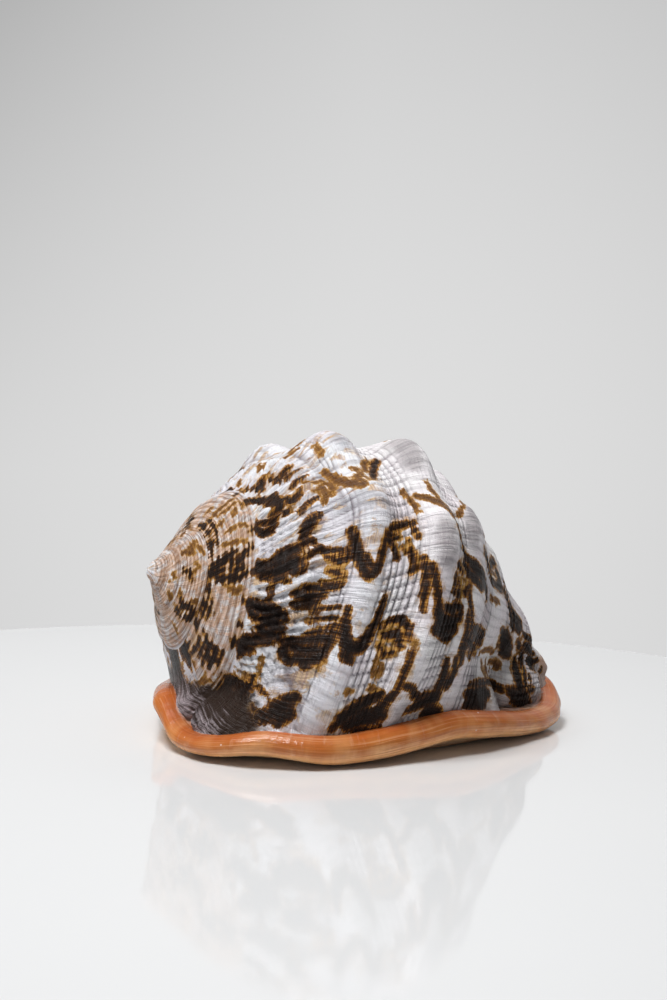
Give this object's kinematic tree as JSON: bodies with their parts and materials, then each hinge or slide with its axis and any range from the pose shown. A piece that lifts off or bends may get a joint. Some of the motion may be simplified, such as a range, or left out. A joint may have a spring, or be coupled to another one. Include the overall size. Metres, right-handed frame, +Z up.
{
  "type": "bullmouth helmet shell",
  "caption": "Heavy domed seashell with a low spiral spire, rows of blunt knobs, a thick rolled orange lip and shield, and a narrow toothed aperture underneath.",
  "frame": {"origin": "middle of the footprint on the surface that the shell rests on, aperture down", "axes": "+Z up, the spire's tip towards -X and the canal end towards +X, the outer lip towards -Y"},
  "size_m": [0.1448, 0.1223, 0.0988],
  "materials": {
    "shell": "glossy natural porcelain-like shell, white and lilac with dark brown and ochre blotches, orange lip"
  },
  "bodies": {
    "root": {"shell": "shell"}
  },
  "joints": []
}
